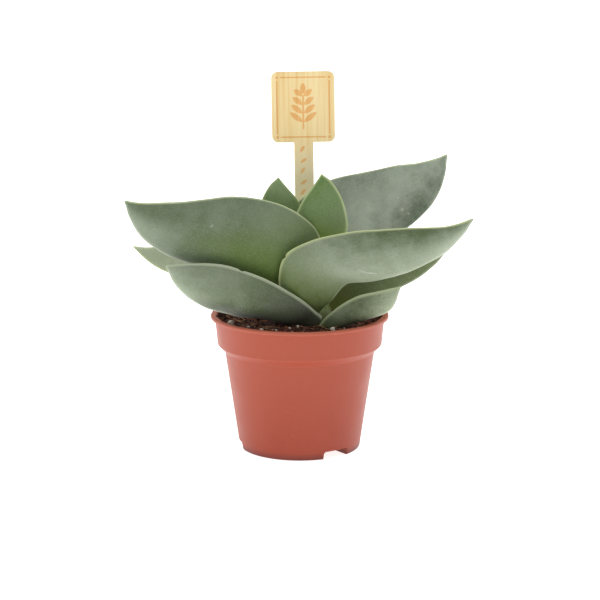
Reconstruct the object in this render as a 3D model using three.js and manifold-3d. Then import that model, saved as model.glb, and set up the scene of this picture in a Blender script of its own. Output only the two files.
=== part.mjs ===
// A potted boomerang crassula (Crassula perfoliata var. falcata) in a small terracotta-coloured
// nursery pot, with a plain wooden plant label pushed into the soil behind it.
// Millimetres, +Z up. The origin is the centre of the pot's underside. +X runs along the leaves,
// to the right as the plant is looked at from its front, and +Y points to the back.
import * as THREE from "three";
import { ParametricGeometry } from "three/addons/geometries/ParametricGeometry.js";
import { mergeVertices } from "three/addons/utils/BufferGeometryUtils.js";
import Module from "manifold-3d";

// Pot: a thin injection-moulded nursery pot with a deep collar.
const POT_HEIGHT = 42;
const LIP_RADIUS = 27.5;
const LIP_THICKNESS = 1.1;
const COLLAR_TOP_RADIUS = 26.2;
const COLLAR_FOOT_RADIUS = 25.4;
const COLLAR_DEPTH = 9.2;
const SHOULDER_DEPTH = 2.1;
const BODY_TOP_RADIUS = 23.2;
const FOOT_RADIUS = 18.7;
const WALL = 0.9;
const POT_SIDES = 60;

// Three drain channels are pressed up into the pot's floor and open through its foot.
const CHANNEL_ANGLES = [-53, 67, 187];
const CHANNEL_WIDTH = 9.2;
const CHANNEL_HEIGHT = 2.5;
const CHANNEL_START = 8;
const DRAIN_RADIUS = 2;
const DRAIN_AT = 12.5;

// Soil.
const SOIL_LEVEL = 40;
const GAP = 0.3;
const LEAF_GAP = 0.15;
const SOIL_RINGS = [0, 5, 10, 14, 18, 21.5, 24];

// Stem. Every leaf grows from it, and all the leaves of a pair turn round its axis. It ends in the
// bud that the next pair comes from.
const STEM_X = 1;
const STEM_FOOT = 26;
const STEM_PROFILE = [
  [4.4, STEM_FOOT],
  [5.4, 34],
  [5.8, 40],
  [5.6, 46],
  [4.8, 52],
  [3.6, 58],
  [2.2, 62],
  [1.2, 65],
  [0.7, 67.5],
];
const STEM_SIDES = 24;

// Label: a head and a stick cut from one thin board.
const LABEL_BOARD = 1.5;
const LABEL_HEAD = { width: 19.7, height: 22, corner: 2 };
const LABEL_STICK = { width: 6, length: 70, point: 9 };
const LABEL_TOP = 114.8;
const LABEL_PLACE = { x: 0.9, y: 18.2, lean: 0.9 };

// Leaves. A leaf is lofted through ribs from its base on the stem to its tip, and a rib runs from
// the outer margin (the long convex edge, which ends in an ear over the stem) to the inner margin.
const LEAF_SIDES = 16;
const LEAF_STEPS = 18;
const BACK_SHARE = 0.62; // how much of a leaf's thickness bulges to its underside
const KEEL = 0.22; // how much thicker a leaf is near its inner margin
const FULLNESS = 0.85; // below 1 gives a section blunter margins than an ellipse has

// The front leaf of each pair, as ribs in the part's own frame, and how its partner across the stem
// differs from it: size as factors along X, Y and Z, its tip raised by pitch degrees and its base
// set lower on the stem by drop.
// hand is 1 for a leaf that sweeps to the right and -1 for one that sweeps to the left.
const PAIRS = [
  {
    name: "lowest",
    hand: 1,
    thickness: 2.8,
    cup: 0.6,
    ribs: [
      [[4.8, -9.2, 39], [6.4, -8.8, 36]],
      [[8.6, -11, 44], [13, -11, 40]],
      [[16.5, -12.5, 49.5], [21, -12.6, 42.9]],
      [[24, -13.8, 51.8], [27.5, -14.1, 46.1]],
    ],
    tip: [30.5, -14.5, 53.5],
    partner: { size: [0.85, 1, 0.85], pitch: -4, drop: 0 },
  },
  {
    name: "second",
    hand: -1,
    thickness: 3.5,
    cup: 1.3,
    ribs: [
      [[6.8, -8.4, 42.9], [1.6, -7.8, 40]],
      [[1.6, -13, 48.3], [-9.6, -12.8, 42.1]],
      [[-10.5, -16, 56.1], [-21.6, -16.4, 44.5]],
      [[-22.5, -18.3, 60.6], [-31.8, -19.1, 49.8]],
      [[-32, -19.8, 61.5], [-37.1, -20.5, 55.2]],
    ],
    tip: [-39.8, -21, 61.1],
    partner: { size: [1.15, 1, 1], pitch: 1.1, drop: 0.45 },
  },
  {
    name: "third",
    hand: 1,
    thickness: 3.9,
    cup: 1.3,
    ribs: [
      [[-3.2, -6.2, 45.5], [5.6, -5.7, 43.6]],
      [[-6.4, -10.8, 54], [9.6, -9.4, 47.8]],
      [[-4.4, -13.2, 62.5], [14.2, -12.8, 53.8]],
      [[3, -14.3, 67.2], [22, -15, 55.2]],
      [[15, -15.5, 70.2], [33, -17.2, 58.5]],
      [[31, -17.3, 71.7], [43.4, -19.5, 64.8]],
      [[44.2, -19.6, 72.8], [49, -20.5, 70.8]],
    ],
    tip: [51.2, -21, 75.2],
    partner: { size: [0.89, 1, 1.1], pitch: -22.2, drop: -0.25 },
  },
  {
    name: "fourth",
    hand: -1,
    thickness: 3.9,
    cup: 1.3,
    ribs: [
      [[5.6, -3.4, 50.3], [-3.6, -3.4, 49]],
      [[7, -4.8, 58.5], [-11.5, -6.4, 50.8]],
      [[5.3, -5.6, 68.8], [-21.6, -10, 54.8]],
      [[-5.6, -8, 77.2], [-30.4, -13.5, 59.2]],
      [[-18.5, -12, 80.3], [-40.2, -16.8, 63.7]],
      [[-34, -16, 79.5], [-47, -18.8, 69.2]],
      [[-45.7, -19, 79.6], [-50.6, -19.8, 75.7]],
    ],
    tip: [-51.8, -20, 80.5],
    partner: { size: [0.97, 1, 1.07], pitch: 9, drop: 1.4 },
  },
  {
    name: "youngest",
    hand: 1,
    thickness: 2.6,
    cup: 0.6,
    ribs: [
      [[-2.2, -2.4, 58.2], [5.4, -2.4, 56.6]],
      [[-2.6, -2.6, 68.5], [14.2, -2.8, 67]],
      [[1, -2.8, 78], [13.4, -3, 76.7]],
      [[3.7, -2.9, 81.7], [9.8, -3, 83.3]],
    ],
    tip: [6.6, -2.9, 85.9],
    partner: { size: [0.95, 1, 0.95], pitch: -4.6, drop: 0 },
  },
];

const PLASTIC = new THREE.MeshStandardMaterial({ color: 0xb85a44, roughness: 0.5 });
const PEAT = new THREE.MeshStandardMaterial({ color: 0x2a1c15, roughness: 1 });
const STALK = new THREE.MeshStandardMaterial({ color: 0x7d8a4e, roughness: 0.7 });
const WOOD = new THREE.MeshStandardMaterial({ color: 0xe6c98e, roughness: 0.7 });
const LEAF = new THREE.MeshStandardMaterial({ color: 0x71836b, roughness: 0.6 });

const wasm = await Module();
wasm.setup();

// A geometry as a solid, for cutting and joining.
function solid(geometry) {
  const bare = geometry.clone();
  bare.deleteAttribute("normal");
  bare.deleteAttribute("uv");
  const merged = mergeVertices(bare, 1e-4);
  return new wasm.Manifold(
    new wasm.Mesh({
      numProp: 3,
      vertProperties: merged.attributes.position.array,
      triVerts: new Uint32Array(merged.index.array),
    }),
  );
}

// A solid as a geometry again.
function geometryOf(body) {
  const mesh = body.getMesh();
  const geometry = new THREE.BufferGeometry();
  geometry.setAttribute("position", new THREE.BufferAttribute(mesh.vertProperties, 3));
  geometry.setIndex(new THREE.BufferAttribute(mesh.triVerts, 1));
  return geometry;
}

function place(name, geometry, material) {
  const mesh = new THREE.Mesh(geometry, material);
  mesh.name = name;
  return mesh;
}

// A turned shape, from [radius, height] points that run up from the axis and back to it.
function turned(profile, sides = POT_SIDES) {
  const points = profile.map(([radius, height]) => new THREE.Vector2(radius, height));
  return new THREE.LatheGeometry(points, sides).rotateX(Math.PI / 2);
}

// The pot's wall line, from the foot up to the collar, moved in by an inset.
function wallLine(inset) {
  const collarFoot = POT_HEIGHT - COLLAR_DEPTH;
  const bodyTop = collarFoot - SHOULDER_DEPTH;
  return [
    [BODY_TOP_RADIUS - inset, bodyTop],
    [COLLAR_FOOT_RADIUS - inset, collarFoot],
    [COLLAR_TOP_RADIUS - inset, POT_HEIGHT - LIP_THICKNESS],
  ];
}

// A block along each drain channel, open at the foot of the pot, larger than the channel by grow.
function channelBlocks(grow) {
  const start = CHANNEL_START - grow;
  const length = LIP_RADIUS - start;
  const height = CHANNEL_HEIGHT + grow + 1;
  return CHANNEL_ANGLES.map((angle) =>
    new THREE.BoxGeometry(length, CHANNEL_WIDTH + 2 * grow, height)
      .translate(start + length / 2, 0, height / 2 - 1)
      .rotateZ(THREE.MathUtils.degToRad(angle)),
  );
}

function makePot() {
  const shell = turned([
    [0, 0],
    [FOOT_RADIUS, 0],
    ...wallLine(0),
    [LIP_RADIUS - 0.2, POT_HEIGHT - LIP_THICKNESS],
    [LIP_RADIUS, POT_HEIGHT - LIP_THICKNESS / 2],
    [LIP_RADIUS - 0.3, POT_HEIGHT - 0.1],
    [LIP_RADIUS - 0.8, POT_HEIGHT],
    [0, POT_HEIGHT],
  ]);
  const cavity = turned([
    [0, WALL],
    [FOOT_RADIUS - WALL, WALL],
    ...wallLine(WALL),
    [COLLAR_TOP_RADIUS - WALL, POT_HEIGHT + 1],
    [0, POT_HEIGHT + 1],
  ]);
  let hollow = solid(cavity);
  for (const block of channelBlocks(WALL)) hollow = hollow.subtract(solid(block));
  let pot = solid(shell).subtract(hollow);
  for (const block of channelBlocks(0)) pot = pot.subtract(solid(block));
  for (const angle of CHANNEL_ANGLES) {
    const drain = new THREE.CylinderGeometry(DRAIN_RADIUS, DRAIN_RADIUS, 10, 16)
      .rotateX(Math.PI / 2)
      .translate(DRAIN_AT, 0, 0)
      .rotateZ(THREE.MathUtils.degToRad(angle));
    pot = pot.subtract(solid(drain));
  }
  return geometryOf(pot);
}

// The lie of the soil: gentle lumps, heaped a little towards the front.
function soilHeight(x, y) {
  const lumps = 0.35 * Math.sin(0.42 * x + 1.3) * Math.cos(0.37 * y - 0.4);
  const crumbs = 0.2 * Math.sin(0.95 * x - 0.7 * y) + 0.15 * Math.cos(1.3 * x + 1.1 * y);
  const heap = 0.9 * Math.exp(-((x + 3) ** 2 + (y + 19) ** 2) / 60);
  return SOIL_LEVEL + lumps + crumbs + heap;
}

function makeSoil(cutters) {
  const inset = WALL + GAP;
  const edge = COLLAR_TOP_RADIUS - inset - 0.2;
  const lifted = turned([
    [0, WALL + GAP],
    [FOOT_RADIUS - inset, WALL + GAP],
    ...wallLine(inset).slice(0, 2),
    [edge, SOIL_LEVEL],
    ...SOIL_RINGS.toReversed().map((radius) => [radius, SOIL_LEVEL]),
  ]);
  const points = lifted.attributes.position;
  for (let i = 0; i < points.count; i++) {
    const isTop = points.getZ(i) > SOIL_LEVEL - 0.01;
    if (isTop) points.setZ(i, soilHeight(points.getX(i), points.getY(i)));
  }
  return carved(solid(lifted), [...channelBlocks(WALL + GAP).map(solid), ...cutters]);
}

// The stem's round shape, larger by grow all round where a hole for it is wanted.
function stemGeometry(grow = 0) {
  const side = STEM_PROFILE.map(([radius, height]) => [radius + grow, height]);
  side[0][1] -= grow;
  const [, top] = STEM_PROFILE.at(-1);
  const outline = [[0, STEM_FOOT - grow], ...side, [0, top + 0.5 + grow]];
  return turned(outline, STEM_SIDES).translate(STEM_X, 0, 0);
}

// A body with the cutters taken out of it, without the crumbs that this may leave.
function carved(body, cutters) {
  const rest = cutters.reduce((left, cutter) => left.subtract(cutter), body);
  const [largest] = rest.decompose().sort((a, b) => b.volume() - a.volume());
  return geometryOf(largest);
}

// The label's board, standing up in the XZ plane with its top edge at Z = 0, larger by grow.
function labelGeometry(grow = 0) {
  const halfHead = LABEL_HEAD.width / 2;
  const halfStick = LABEL_STICK.width / 2 + grow;
  const neck = -LABEL_HEAD.height;
  const shoulder = neck - LABEL_STICK.length + LABEL_STICK.point;
  const corner = LABEL_HEAD.corner;
  const outline = new THREE.Shape();
  outline.moveTo(-halfStick, neck);
  outline.lineTo(-halfStick, shoulder);
  outline.lineTo(-0.8 - grow, neck - LABEL_STICK.length - grow);
  outline.lineTo(0.8 + grow, neck - LABEL_STICK.length - grow);
  outline.lineTo(halfStick, shoulder);
  outline.lineTo(halfStick, neck);
  outline.absarc(halfHead - corner, neck + corner, corner, -Math.PI / 2, 0);
  outline.absarc(halfHead - corner, -corner, corner, 0, Math.PI / 2);
  outline.absarc(corner - halfHead, -corner, corner, Math.PI / 2, Math.PI);
  outline.absarc(corner - halfHead, neck + corner, corner, Math.PI, 1.5 * Math.PI);
  const depth = LABEL_BOARD + 2 * grow;
  return new THREE.ExtrudeGeometry(outline, { depth, bevelEnabled: false, curveSegments: 5 })
    .translate(0, 0, -depth / 2)
    .rotateX(Math.PI / 2);
}

function placeLabel(object) {
  object.position.set(LABEL_PLACE.x, LABEL_PLACE.y, LABEL_TOP);
  object.rotation.y = -THREE.MathUtils.degToRad(LABEL_PLACE.lean);
  return object;
}

// One leaf, closed at its base and drawn to a point at its tip, larger by grow all round.
function leafGeometry(leaf, grow = 0) {
  const marginOf = (side) => {
    const points = [...leaf.ribs.map((rib) => rib[side]), leaf.tip];
    return new THREE.CatmullRomCurve3(points.map((point) => new THREE.Vector3(...point)));
  };
  const outer = marginOf(0);
  const inner = marginOf(1);
  const middle = (t) => outer.getPoint(t).add(inner.getPoint(t)).multiplyScalar(0.5);
  const halfWidth = (t) => outer.getPoint(t).distanceTo(inner.getPoint(t)) / 2;
  const widest = Math.max(...Array.from({ length: 21 }, (_, i) => halfWidth(i / 20)));

  const surface = (around, along, target) => {
    const step = along * LEAF_STEPS - 1;
    const t = THREE.MathUtils.clamp(step / (LEAF_STEPS - 1), 0, 1);
    if (t > 0.999) {
      target.set(...leaf.tip);
      return;
    }
    const centre = middle(t);
    const across = outer.getPoint(t).sub(centre);
    const width = across.length();
    const run = middle(Math.min(t + 0.01, 1)).sub(middle(Math.max(t - 0.01, 0))).normalize();
    const face = run.clone().cross(across).normalize();
    target.copy(centre);
    if (t === 0) target.addScaledVector(run, -grow);
    const onBaseCap = step < -0.5;
    if (onBaseCap) return;

    const fill = width / widest;
    const thickness = leaf.thickness * Math.max(fill ** 0.6, 0.9 * (1 - 3 * t)) + 2 * grow;
    const angle = 2 * Math.PI * around;
    const sine = Math.sin(angle);
    const isBack = sine * leaf.hand > 0;
    const side = isBack ? BACK_SHARE : 1 - BACK_SHARE;
    const keel = 1 - KEEL * Math.cos(angle);
    const bulge = Math.sign(sine) * Math.abs(sine) ** FULLNESS * side * thickness * keel;
    const cup = leaf.hand * leaf.cup * fill * sine * sine;
    target
      .addScaledVector(across, Math.cos(angle) * (1 + grow / width))
      .addScaledVector(face, bulge + cup);
  };
  return new ParametricGeometry(surface, LEAF_SIDES, LEAF_STEPS);
}

// A leaf's base on the stem: the middle of its first rib.
function baseOf(leaf) {
  const [outer, inner] = leaf.ribs[0].map((p) => new THREE.Vector3(...p));
  return outer.add(inner).multiplyScalar(0.5);
}

// The front leaf of a pair, and its partner turned half round the stem.
function makePair(pair, grow = 0) {
  const base = baseOf(pair);
  const geometry = leafGeometry(pair, grow).translate(-base.x, -base.y, -base.z);
  const front = place(`leaf_${pair.name}_front`, geometry, LEAF);
  front.position.copy(base);

  const { size, pitch, drop } = pair.partner;
  const back = place(`leaf_${pair.name}_back`, geometry, LEAF);
  back.position.set(base.x - STEM_X, base.y, base.z - drop);
  back.rotation.y = -THREE.MathUtils.degToRad(pitch * pair.hand);
  back.scale.set(...size);
  const halfTurn = new THREE.Group();
  halfTurn.position.x = STEM_X;
  halfTurn.rotation.z = Math.PI;
  halfTurn.add(back);
  return [front, halfTurn];
}

// Every mesh under some objects as solids in the part's frame.
function solidsOf(objects) {
  const solids = [];
  for (const object of objects) {
    object.updateMatrixWorld(true);
    object.traverse((o) => {
      if (o.isMesh) solids.push(solid(o.geometry.clone().applyMatrix4(o.matrixWorld)));
    });
  }
  return solids;
}

const part = new THREE.Group();
const stemHole = solid(stemGeometry(GAP));
const labelSlot = solidsOf([placeLabel(place("label_slot", labelGeometry(GAP), WOOD))]);
const leafBeds = solidsOf(PAIRS.flatMap((pair) => makePair(pair, LEAF_GAP)));
part.add(place("pot", makePot(), PLASTIC));
part.add(place("soil", makeSoil([stemHole, ...labelSlot, ...leafBeds]), PEAT));
part.add(place("stem", carved(solid(stemGeometry()), leafBeds), STALK));
for (const pair of PAIRS) part.add(...makePair(pair));
part.add(placeLabel(place("label", labelGeometry(), WOOD)));

export default part;
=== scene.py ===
import math
import random
from contextlib import contextmanager

import bmesh
import bpy
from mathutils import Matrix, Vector, noise
from mathutils.bvhtree import BVHTree


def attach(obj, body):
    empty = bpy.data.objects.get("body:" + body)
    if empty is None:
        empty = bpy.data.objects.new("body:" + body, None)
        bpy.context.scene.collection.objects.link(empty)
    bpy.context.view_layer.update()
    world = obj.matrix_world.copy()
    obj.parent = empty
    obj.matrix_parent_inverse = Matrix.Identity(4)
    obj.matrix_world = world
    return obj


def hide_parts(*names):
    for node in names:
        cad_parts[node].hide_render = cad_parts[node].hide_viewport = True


# A boomerang crassula in a small terracotta-coloured nursery pot, with a wooden plant label.
# Sizes are in millimetres and turned to Blender's metres by MM. X runs to the right as the plant is
# looked at from its front, Y to the back and Z up.
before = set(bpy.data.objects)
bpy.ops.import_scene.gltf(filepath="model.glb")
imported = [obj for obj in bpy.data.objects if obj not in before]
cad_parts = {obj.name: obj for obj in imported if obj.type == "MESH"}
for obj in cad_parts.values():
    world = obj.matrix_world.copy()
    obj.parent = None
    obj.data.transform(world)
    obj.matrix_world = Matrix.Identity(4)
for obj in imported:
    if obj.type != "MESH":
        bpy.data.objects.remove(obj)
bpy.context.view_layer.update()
MM = 0.001

# The pot, as the CAD has it: a tapered body up to the shoulder, then a wider collar and the lip.
POT_HEIGHT = 42
WALL = 0.9
FOOT_RADIUS = 18.7
SHOULDER_RADIUS = 23.2
SHOULDER_HEIGHT = 30.7
COLLAR_RADIUS = 25.4
COLLAR_HEIGHT = 32.8
COLLAR_TOP_RADIUS = 26.2
LIP_RADIUS = 27.5
LIP_HEIGHT = 40.9

# Each drain channel runs from CHANNEL_START out through the wall, with a round hole in its roof.
CHANNEL_ANGLES = [-53, 67, 187]
CHANNEL_WIDTH = 9.2
CHANNEL_HEIGHT = 2.5
CHANNEL_START = 8
DRAIN_RADIUS = 2
DRAIN_AT = 12.5

# The soil, and the stem in it.
SOIL_LEVEL = 40
SOIL_RADIUS = 25.05
STEM_X = 1


# Modelling


def alone(piece):
    """Select one piece and nothing else."""
    bpy.ops.object.select_all(action="DESELECT")
    piece.select_set(True)
    bpy.context.view_layer.objects.active = piece


@contextmanager
def edit_mode(piece):
    """Open one piece in edit mode, and close it again."""
    alone(piece)
    bpy.ops.object.mode_set(mode="EDIT")
    bpy.ops.mesh.select_mode(type="VERT")
    yield
    bpy.ops.object.mode_set(mode="OBJECT")


def pick(piece, kind, is_wanted):
    """In edit mode, select the edges or faces whose middle, in mm, passes a test."""
    bpy.ops.mesh.select_all(action="DESELECT")
    bpy.ops.mesh.select_mode(type=kind)
    mesh = bmesh.from_edit_mesh(piece.data)
    for part in mesh.edges if kind == "EDGE" else mesh.faces:
        middle = sum((v.co for v in part.verts), Vector()) / len(part.verts) / MM
        part.select_set(is_wanted(middle))
    bmesh.update_edit_mesh(piece.data)


def modify(piece, kind, **settings):
    """Add a modifier with its settings and apply it."""
    alone(piece)
    modifier = piece.modifiers.new(kind.title(), kind)
    for key, value in settings.items():
        setattr(modifier, key, value)
    bpy.ops.object.modifier_apply(modifier=modifier.name)


def cut(piece, cutter, operation="DIFFERENCE"):
    """Cut, join or trim a piece with another, which is used up."""
    modify(piece, "BOOLEAN", object=cutter, operation=operation, solver="EXACT")
    bpy.data.objects.remove(cutter)


def settle(piece):
    """Put a piece's object at the origin, with its place in its mesh."""
    alone(piece)
    bpy.ops.object.transform_apply(location=True, rotation=True, scale=True)


def join(name, pieces):
    """Make several pieces one."""
    bpy.ops.object.select_all(action="DESELECT")
    for piece in pieces:
        piece.select_set(True)
    bpy.context.view_layer.objects.active = pieces[0]
    if len(pieces) > 1:
        bpy.ops.object.join()
    settle(pieces[0])
    pieces[0].name = pieces[0].data.name = name
    return pieces[0]


def smooth(piece, degrees=180):
    """Shade a piece smooth, up to an angle between its faces."""
    alone(piece)
    if degrees == 180:
        bpy.ops.object.shade_smooth()
    else:
        bpy.ops.object.shade_smooth_by_angle(angle=math.radians(degrees))


def rounded(line, steps=5):
    """A line through [radius, height, corner] points, each corner rounded to its own radius."""
    points = []
    for i, (radius, height, corner) in enumerate(line):
        here = Vector((radius, height))
        if not corner:
            points.append(here)
            continue
        back = Vector(line[i - 1][:2]) - here
        on = Vector(line[(i + 1) % len(line)][:2]) - here
        reach = corner / math.tan(back.angle(on) / 2)
        start = here + back.normalized() * reach
        end = here + on.normalized() * reach
        for k in range(steps + 1):
            t = k / steps
            points.append(start.lerp(here, t).lerp(here.lerp(end, t), t))
    return points


def turned(name, line, steps):
    """A turned shape: a [radius, height] line in mm, spun about the Z axis."""
    bpy.ops.mesh.primitive_plane_add(size=MM)
    piece = bpy.context.object
    piece.name = piece.data.name = name
    with edit_mode(piece):
        bpy.ops.mesh.select_all(action="SELECT")
        bpy.ops.mesh.merge(type="CENTER")
        bpy.ops.transform.translate(value=(line[0][0] * MM, 0, line[0][1] * MM))
        for here, there in zip(line, line[1:]):
            move = ((there[0] - here[0]) * MM, 0, (there[1] - here[1]) * MM)
            bpy.ops.mesh.extrude_region_move(TRANSFORM_OT_translate={"value": move})
        bpy.ops.mesh.select_all(action="SELECT")
        bpy.ops.mesh.spin(steps=steps, angle=2 * math.pi, center=(0, 0, 0), axis=(0, 0, 1))
        bpy.ops.mesh.select_all(action="SELECT")
        bpy.ops.mesh.remove_doubles(threshold=0.002 * MM)
        bpy.ops.mesh.normals_make_consistent(inside=False)
    return piece


# Materials

# A Map Range that eases in and out.
EASED = {"interpolation_type": "SMOOTHSTEP"}


def colour(code):
    """An sRGB hex colour as Blender's linear one."""
    parts = [int(code[i : i + 2], 16) / 255 for i in (0, 2, 4)]
    linear = [c / 12.92 if c <= 0.04045 else ((c + 0.055) / 1.055) ** 2.4 for c in parts]
    return (*linear, 1)


def add(tree, kind, inputs=None, **settings):
    """Add a node. Each input, by name or number, takes a value, a socket to link, or a node whose
    first output in use is linked. By number, a Map Range takes its value at 0, the range that it
    comes from at 1 and 2 and the range that it goes to at 3 and 4. A Mix takes its factor at 0 and
    what it mixes at 2 and 3, or at 6 and 7 where that is a colour."""
    node = tree.nodes.new(kind)
    for key, value in settings.items():
        setattr(node, key, value)
    for key, value in (inputs or {}).items():
        if isinstance(value, bpy.types.Node):
            value = next(output for output in value.outputs if output.enabled)
        if isinstance(value, bpy.types.NodeSocket):
            tree.links.new(value, node.inputs[key])
        else:
            node.inputs[key].default_value = value
    return node


def dress(piece, material):
    """Give a piece its one material."""
    piece.data.materials.clear()
    piece.data.materials.append(material)


def new_material(name):
    """An empty material with a Principled shader, its node tree and its Object coordinates."""
    material = bpy.data.materials.new(name)
    material.use_nodes = True
    tree = material.node_tree
    tree.nodes.clear()
    shader = add(tree, "ShaderNodeBsdfPrincipled")
    add(tree, "ShaderNodeOutputMaterial", {"Surface": shader})
    place = add(tree, "ShaderNodeTexCoord").outputs["Object"]
    return material, tree, shader, place


def moulded_polypropylene():
    """Injection-moulded polypropylene in terracotta: even colour under painted shade that darkens it
    towards the bottom, a satin skin with a faint orange peel from the mould, paler where it was
    rubbed, a little dust, a painted highlight on the lip and painted shade on the shoulder and at
    the foot."""
    material, tree, shader, place = new_material("terracotta_polypropylene")
    height = add(tree, "ShaderNodeSeparateXYZ", {0: place}).outputs["Z"]
    # Painted shade: the body is darker towards the bottom, where less light reaches it.
    rise = add(tree, "ShaderNodeMapRange", {0: height, 1: 0, 2: 36 * MM})
    body = add(
        tree, "ShaderNodeMix", {0: rise, 6: colour("9B3410"), 7: colour("AD482D")}, data_type="RGBA"
    )
    cloud = add(tree, "ShaderNodeTexNoise", {"Vector": place, "Scale": 1 / (9 * MM), "Detail": 4})
    rubbed = add(tree, "ShaderNodeMapRange", {0: cloud, 1: 0.35, 2: 0.7, 3: 0, 4: 0.3})
    shoulder = SHOULDER_HEIGHT * MM
    collar = COLLAR_HEIGHT * MM
    fade = 0.4 * MM
    # Painted shade: a darker band on the shoulder, just below the collar.
    above = {0: height, 1: shoulder, 2: shoulder + fade, 3: 0, 4: 0.2}
    above = add(tree, "ShaderNodeMapRange", above)
    below = add(tree, "ShaderNodeMapRange", {0: height, 1: collar - fade, 2: collar, 3: 1, 4: 0})
    shoulder_shade = add(tree, "ShaderNodeMath", {0: above, 1: below}, operation="MULTIPLY")
    # Painted shade: a dark band at the foot, a contact shadow where the pot stands on the floor.
    foot = add(tree, "ShaderNodeMapRange", {0: height, 1: 0.3 * MM, 2: 2.4 * MM, 3: 0.85, 4: 0})
    # Painted highlight: the lip is paler on top, where the light catches it.
    edge = LIP_HEIGHT * MM
    lip = add(tree, "ShaderNodeMapRange", {0: height, 1: edge, 2: edge + 0.6 * MM, 3: 0, 4: 0.3})
    dust = add(tree, "ShaderNodeTexNoise", {"Vector": place, "Scale": 1 / (0.8 * MM), "Detail": 6})
    dusty = add(tree, "ShaderNodeMapRange", {0: dust, 1: 0.62, 2: 0.8, 3: 0, 4: 0.1})
    covers = [
        (rubbed, "AC4C30"),
        (shoulder_shade, "7E2A14"),
        (foot, "651E0C"),
        (lip, "D98A70"),
        (dusty, "C98E7C"),
    ]
    for cover, code in covers:
        body = add(tree, "ShaderNodeMix", {0: cover, 6: body, 7: colour(code)}, data_type="RGBA")
    tree.links.new(body.outputs[2], shader.inputs["Base Color"])

    gloss = add(tree, "ShaderNodeMapRange", {0: cloud, 1: 0.3, 2: 0.7, 3: 0.38, 4: 0.48})
    tree.links.new(gloss.outputs[0], shader.inputs["Roughness"])
    shader.inputs["IOR"].default_value = 1.49
    shader.inputs["Subsurface Weight"].default_value = 0.08
    shader.inputs["Subsurface Radius"].default_value = (1.0, 0.35, 0.2)
    shader.inputs["Subsurface Scale"].default_value = 0.6 * MM

    peel = add(tree, "ShaderNodeTexNoise", {"Vector": place, "Scale": 1 / (0.7 * MM)})
    peel = add(tree, "ShaderNodeBump", {"Height": peel, "Distance": 0.012 * MM})
    sink = add(tree, "ShaderNodeTexNoise", {"Vector": place, "Scale": 1 / (6 * MM)})
    sink = add(tree, "ShaderNodeBump", {"Height": sink, "Distance": 0.06 * MM, "Normal": peel})
    tree.links.new(sink.outputs[0], shader.inputs["Normal"])
    return material


def more_at(tree, total, places, on_blade, mottle):
    """Add to a total at (along, across, reach, amount) places of a leaf, with uneven borders."""
    for along, across, reach, amount in places:
        middle = (along, across, 0)
        gap = add(tree, "ShaderNodeVectorMath", {0: on_blade, 1: middle}, operation="SUBTRACT")
        gap = add(tree, "ShaderNodeVectorMath", {0: gap, 1: (1, 0.3, 0)}, operation="MULTIPLY")
        gap = add(tree, "ShaderNodeVectorMath", {0: gap}, operation="LENGTH")
        gap = add(tree, "ShaderNodeMath", {0: mottle, 1: 0.16, 2: gap}, operation="MULTIPLY_ADD")
        more = {0: gap, 1: 0.08, 2: 0.08 + reach, 3: amount, 4: 0}
        more = add(tree, "ShaderNodeMapRange", more, **EASED)
        total = add(tree, "ShaderNodeMath", {0: total, 1: more}, operation="ADD")
    return total


def scarred(tree, skin, marks, place, specks):
    """A leaf's skin with scars and rubbed spots: flat ellipses with a frayed border."""
    for x, y, z, turn, length, width, code in marks:
        spot = add(
            tree,
            "ShaderNodeMapping",
            {
                "Vector": place,
                "Location": (x * MM, y * MM, z * MM),
                "Rotation": (0, math.radians(turn), 0),
                "Scale": (length / 2 * MM, 3 * MM, width / 2 * MM),
            },
            vector_type="TEXTURE",
        )
        spot = add(tree, "ShaderNodeVectorMath", {0: spot}, operation="LENGTH")
        spot = add(tree, "ShaderNodeMath", {0: specks, 1: 1.2, 2: spot}, operation="MULTIPLY_ADD")
        spot = add(tree, "ShaderNodeMapRange", {0: spot, 1: 0.9, 2: 1.6, 3: 0.6, 4: 0})
        skin = add(tree, "ShaderNodeMix", {0: spot, 6: skin, 7: colour(code)}, data_type="RGBA")
    return skin


def margined(tree, skin, lower_edge, upper_edge, across, rim):
    """A leaf's skin with its thin pale margin, up to 1 mm wide."""
    edge = add(tree, "ShaderNodeMapRange", {0: rim, 1: 0.15, 2: 1.0, 3: 1, 4: 0}, **EASED)
    side = add(tree, "ShaderNodeMapRange", {0: across, 1: -0.2, 2: 0.2})
    cover = add(tree, "ShaderNodeMix", {0: side, 2: lower_edge[1], 3: upper_edge[1]})
    edge = add(tree, "ShaderNodeMath", {0: edge, 1: cover}, operation="MULTIPLY")
    tint = add(
        tree,
        "ShaderNodeMix",
        {0: side, 6: colour(lower_edge[0]), 7: colour(upper_edge[0])},
        data_type="RGBA",
    )
    return add(tree, "ShaderNodeMix", {0: edge, 6: skin, 7: tint}, data_type="RGBA")


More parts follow.
